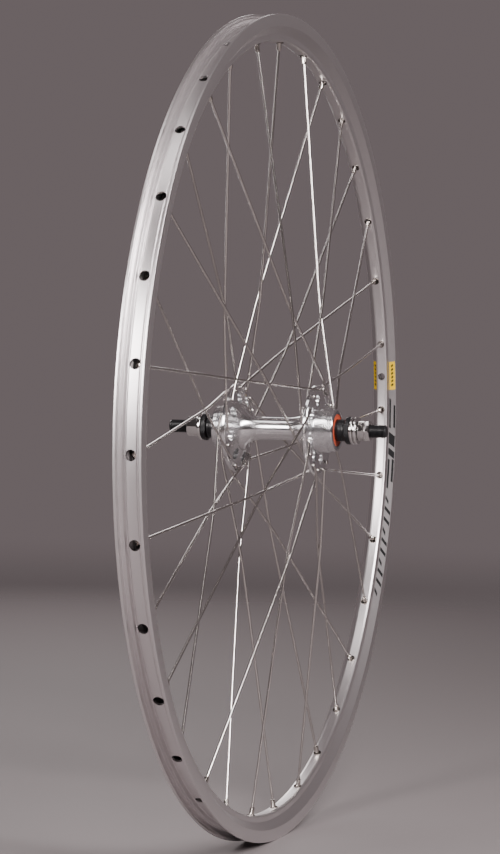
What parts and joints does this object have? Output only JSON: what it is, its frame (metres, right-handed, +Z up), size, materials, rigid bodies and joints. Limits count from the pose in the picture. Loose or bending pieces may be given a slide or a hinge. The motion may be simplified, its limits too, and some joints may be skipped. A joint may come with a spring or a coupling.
{
  "type": "rear track bicycle wheel",
  "caption": "Bare rear track bicycle wheel: double-wall rim, crossed steel spokes, high-flange hub threaded at both ends, sealed bearings and a nutted solid axle.",
  "frame": {"origin": "middle of the hub on the axle's centre line", "axes": "+Y along the axle to the non-drive side, +X forward in travel, +Z up"},
  "size_m": [0.634, 0.176, 0.634],
  "materials": {
    "rim": "satin anodised silver",
    "spoke": "bright drawn stainless",
    "hub": "polished",
    "black_steel": "black oxide",
    "bearing_steel": "ground",
    "seal": "matte red-orange",
    "chrome": "bright chrome plate"
  },
  "bodies": {
    "axle_assembly": {"axle": "black_steel", "bearing_inner_ring_drive": "bearing_steel", "spacer_drive": "black_steel", "locknut_drive": "black_steel", "bearing_inner_ring_non_drive": "bearing_steel", "spacer_non_drive": "black_steel", "locknut_non_drive": "black_steel"},
    "wheel": {"rim": "rim", "spoke_drive_01": "spoke", "spoke_drive_02": "spoke", "spoke_drive_03": "spoke", "spoke_drive_04": "spoke", "spoke_drive_05": "spoke", "spoke_drive_06": "spoke", "spoke_drive_07": "spoke", "spoke_drive_08": "spoke", "spoke_drive_09": "spoke", "spoke_drive_10": "spoke", "spoke_drive_11": "spoke", "spoke_drive_12": "spoke", "spoke_drive_13": "spoke", "spoke_drive_14": "spoke", "spoke_drive_15": "spoke", "spoke_drive_16": "spoke", "spoke_non_drive_01": "spoke", "spoke_non_drive_02": "spoke", "spoke_non_drive_03": "spoke", "spoke_non_drive_04": "spoke", "spoke_non_drive_05": "spoke", "spoke_non_drive_06": "spoke", "spoke_non_drive_07": "spoke", "spoke_non_drive_08": "spoke", "spoke_non_drive_09": "spoke", "spoke_non_drive_10": "spoke", "spoke_non_drive_11": "spoke", "spoke_non_drive_12": "spoke", "spoke_non_drive_13": "spoke", "spoke_non_drive_14": "spoke", "spoke_non_drive_15": "spoke", "spoke_non_drive_16": "spoke", "hub_shell": "hub", "bearing_outer_ring_drive": "bearing_steel", "outer_seal_drive": "seal", "inner_seal_drive": "seal", "bearing_outer_ring_non_drive": "bearing_steel", "outer_seal_non_drive": "seal", "inner_seal_non_drive": "seal"},
    "cage_drive": {"ball_cage_drive": "bearing_steel"},
    "cage_non_drive": {"ball_cage_non_drive": "bearing_steel"},
    "washers_drive": {"inner_washer_drive": "chrome", "outer_washer_drive": "chrome"},
    "nut_drive": {"axle_nut_drive": "chrome"},
    "washer_non_drive": {"washer_non_drive": "chrome"},
    "nut_non_drive": {"axle_nut_non_drive": "chrome"}
  },
  "joints": [
    {"name": "wheel_spin", "type": "hinge", "parent": "axle_assembly", "child": "wheel", "pos_m": [0, 0, 0], "axis": [0, 1, 0], "continuous": true},
    {"name": "cage_spin_drive", "type": "hinge", "parent": "axle_assembly", "child": "cage_drive", "pos_m": [0, 0, 0], "axis": [0, 1, 0], "continuous": true},
    {"name": "cage_spin_non_drive", "type": "hinge", "parent": "axle_assembly", "child": "cage_non_drive", "pos_m": [0, 0, 0], "axis": [0, 1, 0], "continuous": true},
    {"name": "washers_slide_drive", "type": "slide", "parent": "axle_assembly", "child": "washers_drive", "axis": [0, -1, 0], "range_m": [0, 0.008]},
    {"name": "nut_turn_drive", "type": "hinge", "parent": "washers_drive", "child": "nut_drive", "pos_m": [0, 0, 0], "axis": [0, -1, 0], "range_deg": [0, 2880]},
    {"name": "washer_slide_non_drive", "type": "slide", "parent": "axle_assembly", "child": "washer_non_drive", "axis": [0, 1, 0], "range_m": [0, 0.008]},
    {"name": "nut_turn_non_drive", "type": "hinge", "parent": "washer_non_drive", "child": "nut_non_drive", "pos_m": [0, 0, 0], "axis": [0, 1, 0], "range_deg": [0, 2880]}
  ],
  "couplings": [
    {"joint": "washers_slide_drive", "follows": "nut_turn_drive", "m_per_rad": 0.00015915},
    {"joint": "washer_slide_non_drive", "follows": "nut_turn_non_drive", "m_per_rad": 0.00015915}
  ]
}
